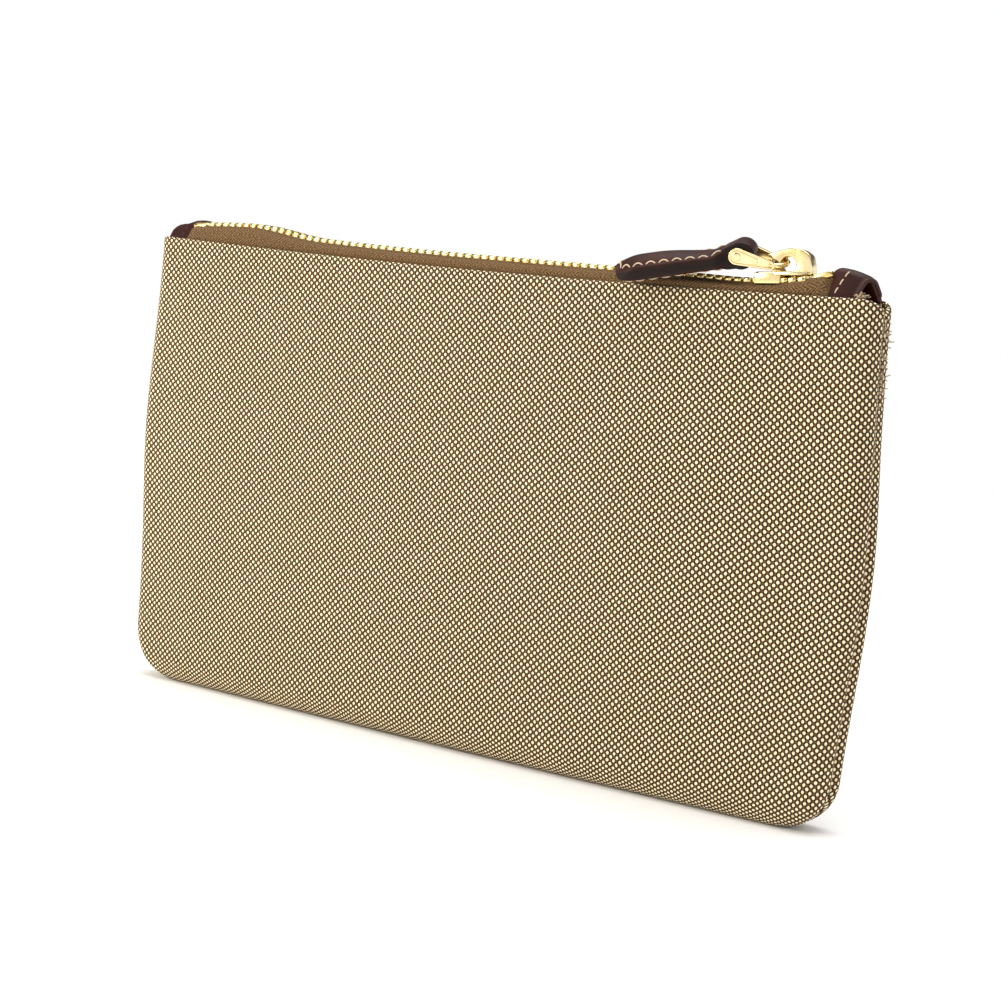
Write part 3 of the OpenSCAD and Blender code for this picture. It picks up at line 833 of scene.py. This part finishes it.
def end_tab(stations, slant, ridge_z, rim):
    """A strip of leather folded over the chain's end. A station is (front x, back x, thinning); X runs from
    the one to the other between the slant's two Y values."""
    rings, masks, uvs = [], [], []
    for front_x, back_x, thin in stations:
        ring_z = ridge_z((front_x + back_x) / 2)
        outer = tab_arch(ring_z - thin * 0.3, thin * 0.25)
        inner = tab_arch(ring_z - thin * 0.3, TAB_T * (1 - 0.25 * thin))
        whole, hollow = ([(-y, z) for y, z in reversed(half)] + half[1:] for half in (outer, inner))
        ring = []
        for y, z in whole + hollow[::-1]:
            x = mix(front_x, back_x, smooth((y - slant[0]) / (slant[1] - slant[0])))
            ring.append((x, y, z))
            uvs.append((x, y - z))
            # The cut ends take part of the leather's lighter edge colour: a painted highlight
            masks.append(0.4 * (thin > 0))
        rings.append(ring)
    tab = Shape().add(*loft(rings), uvs, masks)
    # A rolled rim along an edge: a bead on part of one ring's outer points, lighter as a painted highlight
    k, radius, first, last = rim
    edge = rings[k][:len(rings[k]) // 2][first:last]
    points, faces = tube([(x, y * 0.98, z - 0.2) for x, y, z in edge], radius, 10)
    return tab.add(points, faces, None, [0.4] * len(points))


def left_end_tab():
    def ridge_z(x):
        t = np.clip((x + 104.4) / 4.6, 0, 1)
        return 122.6 + 3.2 * math.sqrt(1 - (1 - t) ** 2) + 0.2 * max(0, x + 99)

    xs = [-104.35, -104.1, -103.6, -102.8, -101.8, -100.6, -99, -97.4, -95.8, -94.5, -94.2]
    thins = [1, 0.3, 0, 0, 0, 0, 0, 0, 0, 0.35, 1]
    stations = [(x, x + 6 * smooth((x + 101) / 6.5), thin) for x, thin in zip(xs, thins)]
    return end_tab(stations, (-0.8, 2.4), ridge_z, (-1, 0.62, 0, 13))


def right_end_tab():
    """The ridge falls towards an open, rolled end; both ends are cut on the slant."""
    shares = [0, 0.03, 0.08, 0.2, 0.35, 0.5, 0.65, 0.8, 0.92, 0.97, 1]
    thins = [1, 0.35, 0, 0, 0, 0, 0, 0, 0, 0.3, 0.8]
    stations = [(mix(91.2, 98.9, t), mix(96.2, 103, t), thin) for t, thin in zip(shares, thins)]

    def ridge_z(x):
        return 128.4 - 0.03 * (x - 94) - 0.028 * (x - 94) ** 2

    return end_tab(stations, (-5.2, 5.2), ridge_z, (-1, 0.5, 1, 26))


def tab_stitches(x_foot, x_ridge, ridge_z):
    """Stitches down both flanks of a tab."""
    threads = Shape()
    lean = math.radians(TAB_LEAN)
    for side in (-1, 1):
        flank = tab_arch(ridge_z, 0)[4:14]
        xs = np.linspace(x_ridge, x_foot if side < 0 else 2 * x_ridge - x_foot, len(flank))
        flank = [Vector((x, side * y, z)) for x, (y, z) in zip(xs, flank)]
        out = Vector((0, side * math.cos(lean), math.sin(lean)))
        total = sum((b - a).length for a, b in zip(flank, flank[1:]))
        run = 0.1
        while run + TAB_STITCH < total:
            ends = (along_path(flank, run), along_path(flank, run + TAB_STITCH))
            threads.add(*tube(stitch_path(*ends, Vector((0.1, 0, 0)), out), STITCH_R))
            run += TAB_STITCH_PITCH
    return threads


def along_path(path, distance):
    for a, b in zip(path, path[1:]):
        step = (b - a).length
        if distance <= step:
            return a.lerp(b, distance / step)
        distance -= step
    return path[-1].copy()


def frayed(roots, radius):
    """Loose thread ends: each root is (point, direction, length)."""
    threads = Shape()
    for point, direction, length in roots:
        p, d = Vector(point), Vector(direction).normalized()
        path = []
        for _ in range(9):
            path.append(p)
            d = (d + Vector([gauss(0, 0.16) for _ in range(3)])).normalized()
            p = p + d * length / 8
        threads.add(*tube(path, radius, 6))
    return threads


# --- Materials


def linear(r, g, b):
    """Linear colour of a screen colour given as 0 to 255."""
    return tuple(((c / 255 + 0.055) / 1.055) ** 2.4 if c > 10 else c / 255 / 12.92 for c in (r, g, b)) + (1,)


class Nodes:
    """Short way to write a node tree."""

    def __init__(self, tree):
        self.tree = tree

    def node(self, kind, inputs=(), **settings):
        made = self.tree.nodes.new("ShaderNode" + kind)
        for key, value in settings.items():
            setattr(made, key, value)
        for key, value in dict(inputs).items():
            self.plug(value, made.inputs[key])
        return made

    def plug(self, value, socket):
        if isinstance(value, bpy.types.NodeSocket):
            self.tree.links.new(value, socket)
        else:
            socket.default_value = linear(*value) if isinstance(value, tuple) else value


class Graph(Nodes):
    """A material's nodes."""

    def __init__(self, name, **shader):
        self.material = bpy.data.materials.new(name)
        self.material.use_nodes = True
        super().__init__(self.material.node_tree)
        self.shader = self.tree.nodes["Principled BSDF"]
        for key, value in shader.items():
            self.shader.inputs[key.replace("_", " ")].default_value = value

    def math(self, operation, a, b=0.0, c=0.0, clamp=False):
        return self.node("Math", {0: a, 1: b, 2: c}, operation=operation, use_clamp=clamp).outputs[0]

    def add(self, a, b, clamp=False):
        return self.math("ADD", a, b, clamp=clamp)

    def times(self, a, b):
        return self.math("MULTIPLY", a, b)

    def line(self, value, slope, start):
        return self.math("MULTIPLY_ADD", value, slope, start)

    def ramp(self, value, low, high):
        inputs = {"Value": value, "From Min": low, "From Max": high}
        return self.node("MapRange", inputs, interpolation_type="SMOOTHSTEP").outputs[0]

    def blend(self, share, a, b):
        return self.node("Mix", {0: share, 6: a, 7: b}, data_type="RGBA").outputs[2]

    def scaled(self, colour, share):
        """Colour made darker or lighter by a factor."""
        return self.node("VectorMath", {0: colour, "Scale": share}, operation="SCALE").outputs[0]

    def noise(self, scale, detail, vector=None):
        inputs = {"Scale": scale, "Detail": detail, "Vector": vector or self.place()}
        return self.node("TexNoise", inputs).outputs["Fac"]

    def place(self):
        return self.node("TexCoord").outputs["Object"]

    def cloth(self):
        """Distances along and across the cloth, in millimetres."""
        split = self.node("SeparateXYZ", {0: self.node("UVMap", uv_map="weave").outputs[0]})
        return tuple(self.times(split.outputs[k], 1 / MM) for k in (0, 1))

    def joined(self, x, y, z=0.0):
        return self.node("CombineXYZ", {0: x, 1: y, 2: z}).outputs[0]

    def bump(self, height, depth_mm, strength):
        inputs = {"Height": height, "Distance": depth_mm * MM, "Strength": strength}
        self.plug(self.node("Bump", inputs).outputs[0], self.shader.inputs["Normal"])

    def paint(self, colour, roughness=None):
        self.plug(colour, self.shader.inputs["Base Color"])
        if roughness is not None:
            self.plug(roughness, self.shader.inputs["Roughness"])
        return self.material


# The weave's repeat and the half sizes of the cream and brown ovals, in millimetres
CELL_X, CELL_Z = 1.73, 1.69
CREAM_HALF, BROWN_HALF = (0.41, 0.48), (0.45, 0.49)


def woven_cloth():
    """Cream threads that show as small ovals between brown ones, on a chequered lattice."""
    g = Graph("woven_cloth", Roughness=0.9, Specular_IOR_Level=0.25)
    u, v = g.cloth()
    drift = g.joined(u, v)
    wobble = g.line(g.noise(0.35, 2, drift), 0.3, -0.15)
    wobble_b = g.line(g.noise(0.28, 2, g.joined(v, u, 7.0)), 0.3, -0.15)
    pu = g.add(g.math("DIVIDE", u, CELL_X), wobble)
    pv = g.add(g.math("DIVIDE", v, CELL_Z), wobble_b)

    def near(p, shift):
        p = g.math("SUBTRACT", p, shift)
        return g.math("SUBTRACT", p, g.math("ROUND", p))

    def oval(a, b, half_a, half_b):
        a, b = g.times(a, CELL_X / half_a), g.times(b, CELL_Z / half_b)
        return g.add(g.times(a, a), g.times(b, b))

    u0, u1, v0, v1 = near(pu, 0.0), near(pu, 0.5), near(pv, 0.0), near(pv, 0.5)
    cream_d = g.math("MINIMUM", oval(u0, v0, *CREAM_HALF), oval(u1, v1, *CREAM_HALF))
    brown_d = g.math("MINIMUM", oval(u0, v1, *BROWN_HALF), oval(u1, v0, *BROWN_HALF))
    cream_h, brown_h = (
        g.math("SQRT", g.math("MAXIMUM", g.line(d, -steep, 1.0), 0.0))
        for d, steep in ((cream_d, 0.85), (brown_d, 0.8))
    )
    is_cream = g.ramp(cream_d, 1.1, 0.75)
    cell = g.joined(g.math("ROUND", g.times(pu, 2.0)), g.math("ROUND", g.times(pv, 2.0)))
    chance = g.node("TexWhiteNoise", {"Vector": cell}, noise_dimensions="3D").outputs["Value"]
    fibre = g.noise(9.0, 3, g.joined(g.times(u, 1.6), v))
    patches = g.noise(0.05, 3, drift)
    # Painted shade: by thread height, brown goes near black in crevices, cream browns at the ovals' edges
    brown = g.blend(g.ramp(brown_h, 0.5, 1.0), (8, 4, 1), (101, 69, 29))
    cream = g.blend(g.ramp(cream_h, 0.28, 0.95), (96, 66, 30), (250, 234, 197))
    colour = g.blend(is_cream, brown, cream)
    shade = g.add(g.add(g.times(chance, 0.16), g.times(fibre, 0.3)), g.line(patches, 0.1, 0.72))
    height = g.add(g.math("MAXIMUM", cream_h, g.times(brown_h, 0.72)), g.times(fibre, 0.25))
    g.bump(height, 0.2, 0.75)
    return g.paint(g.scaled(colour, shade))


def plain_cloth(name, dark, light, thread_mm, bump_mm, roughness):
    """Plain woven cloth or fleece with fine threads."""
    g = Graph(name, Roughness=roughness, Sheen_Weight=0.1)
    u, v = g.cloth()
    height = g.times(*(g.math("SINE", g.times(way, math.pi / thread_mm)) for way in (u, v)))
    fuzz = g.noise(3.0, 4, g.joined(u, v))
    # Painted shade: colour follows the weave height, so hollows between threads are darker; fuzz adds own
    # uneven tone
    share = g.add(g.line(height, 0.25, 0.25), g.times(fuzz, 0.6))
    g.bump(g.add(height, fuzz), bump_mm, 0.6)
    return g.paint(g.blend(share, dark, light))


def zip_tape_cloth():
    """Brown twill whose ribs turn back in a herringbone."""
    g = Graph("zip_tape", Roughness=0.9, Specular_IOR_Level=0.25)
    u, v = g.cloth()
    saw = g.math("ABSOLUTE", g.math("SUBTRACT", g.math("FRACT", g.math("DIVIDE", v, 2.4)), 0.5))
    phase = g.add(u, g.times(saw, 3.4))
    rib = g.line(g.math("SINE", g.times(phase, math.tau)), 0.5, 0.5)
    fibre = g.noise(2.4, 4, g.joined(g.times(u, 0.6), g.times(v, 2.0)))
    # Painted shade: colour follows the bump's rib height, so rib hollows are darker; fibre adds the tape's
    # own uneven tone
    share = g.add(g.times(rib, 0.45), g.line(fibre, 1.9, -0.7), clamp=True)
    g.bump(g.add(rib, fibre), 0.15, 1.0)
    return g.paint(g.blend(share, (34, 21, 9), (152, 118, 78)))


def gold(name, dark, light):
    """Pale polished brass with faint wear."""
    g = Graph(name, Metallic=1.0, Specular_IOR_Level=0.5)
    fine = g.noise(900.0, 3)
    wide = g.noise(120.0, 2)
    g.bump(fine, 0.02, 0.35)
    return g.paint(g.blend(g.ramp(wide, 0.35, 0.7), dark, light), g.line(fine, 0.12, 0.12))


def leather(name, top, worn, edge, grain_mm=0.5):
    """Smooth waxed leather with fine grain; a masked edge colour: edge paint on the pull, painted highlight
    on the tabs.
    """
    g = Graph(name, Coat_Weight=0.04, Coat_Roughness=0.25, Specular_IOR_Level=0.15)
    at_edge = g.node("Attribute", attribute_name="edge").outputs["Fac"]
    grain = {"Vector": g.place(), "Scale": 1 / (grain_mm * MM)}
    cells = g.node("TexVoronoi", grain, feature="SMOOTH_F1")
    soft = g.noise(350.0, 4)
    wide = g.noise(90.0, 3)
    colour = g.blend(g.ramp(wide, 0.35, 0.72), top, worn)
    # Edge colour by the mask: the pull's dark edge paint, and on the tabs a painted highlight
    colour = g.blend(g.times(at_edge, 0.92), colour, edge)
    colour = g.scaled(colour, g.line(soft, 0.5, 0.75))
    height = g.add(g.times(cells.outputs["Distance"], -0.6), soft)
    g.bump(height, 0.05, 0.5)
    return g.paint(colour, g.line(soft, 0.22, 0.34))


def thread(name, dark, light):
    """Waxed thread with a twist."""
    g = Graph(name, Roughness=0.65, Sheen_Weight=0.1)
    fibre = g.noise(2600.0, 3)
    wide = g.noise(260.0, 2)
    share = g.add(g.times(fibre, 0.7), g.times(wide, 0.4), clamp=True)
    g.bump(fibre, 0.05, 0.6)
    return g.paint(g.blend(share, dark, light))


CLOTH = woven_cloth()
LINING = plain_cloth("lining", (70, 50, 34), (112, 84, 58), 0.45, 0.08, 0.9)
FLEECE = plain_cloth("interlining", (200, 190, 168), (236, 229, 212), 0.8, 0.1, 0.95)
TAPE = zip_tape_cloth()
GOLD = gold("zip_metal", (230, 203, 138), (246, 231, 188))
TEETH_GOLD = gold("teeth_metal", (238, 206, 126), (251, 232, 168))
# The lighter edge colour is a painted highlight on the tabs' cut ends and rolled rims
LEATHER = leather("leather", (41, 15, 11), (65, 30, 22), (96, 74, 66))
PULL_LEATHER = leather("pull_leather", (46, 19, 12), (68, 37, 28), (20, 12, 9), 0.4)
CORE = leather("leather_edge", (60, 44, 38), (72, 54, 46), (50, 38, 34))
THREAD = thread("thread", (176, 148, 120), (230, 208, 180))
DARK_THREAD = thread("dark_thread", (34, 20, 17), (64, 42, 36))
FRAY = thread("fray_thread", (84, 50, 22), (228, 206, 168))

# --- Pieces

seed(7)

LAYERS = [
    # name, offset, thickness, gap below the top edge, material, slot, columns, rows
    ("panel", 0, CLOTH_T, 0, CLOTH, "woven_cloth", 200, 112),
    ("interlining", PAD_IN, PAD_T, TAPE_TUCK + 1, FLEECE, "interlining", 64, 40),
    ("lining", LINING_IN, LINING_T, 1.5, LINING, "lining", 96, 60),
]
for side_name, side, body, phase in (("front", -1, None, 0.2), ("back", 1, BACK, 1.3)):
    for layer, o, t, gap, material, slot, cols, rows in LAYERS:
        name = f"{side_name}_{layer}"
        cloth = cloth_layer(o, t, gap, phase, cols, rows, side)
        piece = set_piece(cloth, f"{name}_cloth", name, material, slot, body)
    tape = set_piece(zip_tape(side), f"{side_name}_tape_cloth", f"{side_name}_tape", TAPE, "zip_tape", body)
    for shape, name, node, material, slot, keep_sharp in (
        (zip_cord(side), "cord_thread", "cord", TAPE, "zip_tape", None),
        (zip_teeth(side), "teeth_row", "teeth", TEETH_GOLD, "zip_metal", 50),
        (top_stop(side), "stop_block", "top_stop", TEETH_GOLD, "zip_metal", 50),
    ):
        set_piece(shape, f"{side_name}_{name}", f"{side_name}_{node}", material, slot, body, keep_sharp)

for piece in (
    (bottom_stop(), "bottom_stop_clip", "bottom_stop", TEETH_GOLD, "zip_metal", BACK, 60),
    (left_end_tab(), "left_tab_leather", "left_end_tab", LEATHER, "leather", BACK, 70),
    (right_end_tab(), "right_tab_leather", "right_end_tab", LEATHER, "leather", BACK, 70),
    (tab_stitches(-98.6, -98.2, 125.9), "left_tab_thread", "left_tab_stitching", DARK_THREAD, "thread", BACK),
    (tab_stitches(94.3, 96.4, 128.2), "right_tab_thread", "right_tab_stitching", THREAD, "thread", BACK),
    (slider_body(), "slider_plates", "slider_body", GOLD, "zip_metal", "slider", 45),
    (crown(), "slider_bridge", "slider_crown", GOLD, "zip_metal", "slider", 40),
    (puller_link(), "puller_arms", "puller_link", GOLD, "zip_metal", "puller", 38),
    (puller_pin(), "puller_rivet", "puller_pin", GOLD, "zip_metal", "puller", 50),
):
    set_piece(*piece)
pull = set_piece(pull_leather(), "pull_hide", "pull_leather", PULL_LEATHER, "leather", "leather_pull")
set_piece(pull_core(), "pull_filler", "pull_core", CORE, "leather_edge", "leather_pull")
set_piece(pull_stitching(), "pull_thread", "pull_stitching", THREAD, "thread", "leather_pull")

seam_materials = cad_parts["seam_thread"].data.materials
seam_materials.clear()
seam_materials.append(THREAD)

# Loose thread ends at the top right corner and inside the right tab
corner_roots = []
for _ in range(60):
    z = uniform(98, 119.3)
    out = Vector((1, uniform(-0.8, 0.5), uniform(-0.5, 1.2)))
    edge = float(bowed(np.array(104.6), z)) - 0.35 * smooth((z - 114) / 5) * (z - 114)
    corner_roots.append(((edge - 0.2, uniform(-1.2, 2.4), z), out, uniform(0.7, 1.7)))
tab_roots = []
for _ in range(26):
    start = (uniform(98.6, 100.4), uniform(-4.1, -0.8), uniform(121.4, 122.5))
    tab_roots.append((start, (1, uniform(-0.8, 0.1), uniform(0, 0.7)), uniform(1, 2.2)))
for name, roots, radius in (("corner_fray", corner_roots, 0.13), ("tab_fray", tab_roots, 0.15)):
    fray = frayed(roots, radius).build(name, FRAY)
    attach(fray, BACK)

# --- Stage, light and camera

FLOOR_HALF = 0.9
floor_mesh = bpy.data.meshes.new("floor")
floor_corners = [(FLOOR_HALF * x, FLOOR_HALF * y, 0) for x, y in ((-1, -1), (1, -1), (1, 1), (-1, 1))]
floor_mesh.from_pydata(floor_corners, [], [(0, 1, 2, 3)])
floor = linked("floor", floor_mesh)
floor_paint = Graph("floor", Roughness=0.9, Specular_IOR_Level=0.2)
floor_mesh.materials.append(floor_paint.paint((250, 250, 250)))


def softbox(name, place, aim, size, watts, colour=(1, 1, 1)):
    data = bpy.data.lights.new(name, "AREA")
    data.shape = "RECTANGLE"
    data.size, data.size_y = size
    data.energy = watts
    data.color = colour
    obj = linked(name, data)
    obj.location = place
    obj.rotation_euler = (Vector(aim) - Vector(place)).to_track_quat("-Z", "Y").to_euler()


pouch_middle = (0, 0, POUCH_H / 2 * MM)
softbox("key", (-0.42, -0.55, 0.34), (-0.08, 0, 0.07), (0.32, 0.4), 3.4, (1, 0.93, 0.8))
softbox("fill", (0.7, -0.8, 0.5), pouch_middle, (0.6, 0.6), 0.5)
softbox("top", (0.0, 0.1, 1.6), pouch_middle, (1.2, 1.2), 15)

world = bpy.data.worlds.new("studio")
world.use_nodes = True
studio = Nodes(world.node_tree)
rays = studio.node("LightPath")
direction = studio.node("TexCoord").outputs["Generated"]
height = studio.node("SeparateXYZ", {0: direction}).outputs[2]


def sky(strength, tones):
    """Light that depends on height above the horizon: tones are (height, brightness)."""
    ramp = studio.node("ValToRGB", {0: height})
    while len(ramp.color_ramp.elements) < len(tones):
        ramp.color_ramp.elements.new(1)
    for element, (position, tone) in zip(ramp.color_ramp.elements, tones):
        element.position = position
        element.color = (tone, tone, tone, 1)
    return studio.node("Background", {"Color": ramp.outputs[0], "Strength": strength}).outputs[0]


def either(choice, no, yes):
    return studio.node("MixShader", {0: rays.outputs[choice], 1: no, 2: yes}).outputs[0]


soft_room = sky(0.8, [(0, 0.8), (0.45, 1)])
# Mirror-like metal also shows the dark parts of a studio
mirrored = sky(1.05, [(0, 1), (0.18, 1), (0.28, 0.16), (0.52, 0.1), (0.7, 0.8), (1, 1)])
backdrop = sky(1.0, [(0, 1), (1, 1)])
lit_room = either("Is Glossy Ray", soft_room, mirrored)
seen = either("Is Camera Ray", lit_room, backdrop)
studio.plug(seen, world.node_tree.nodes["World Output"].inputs["Surface"])
scene.world = world
scene.view_settings.view_transform = "Standard"

CAMERA_AT = (0.2753, -0.4239, 0.1206)
AZIMUTH, ELEVATION, ROLL = (math.radians(a) for a in (32.09, 6.453, 5.23))
backwards = Vector((math.sin(AZIMUTH), -math.cos(AZIMUTH), 0)) * math.cos(ELEVATION)
backwards.z = math.sin(ELEVATION)
level = Vector((math.cos(AZIMUTH), math.sin(AZIMUTH), 0))
right = level * math.cos(ROLL) + backwards.cross(level) * math.sin(ROLL)
camera_data = bpy.data.cameras.new("camera")
camera_data.lens = 72.5
camera_data.clip_start = 0.01
camera = linked("camera", camera_data)
axes = Matrix((right, backwards.cross(right), backwards)).transposed()
camera.matrix_world = moved(*CAMERA_AT) @ axes.to_4x4()
scene.camera = camera
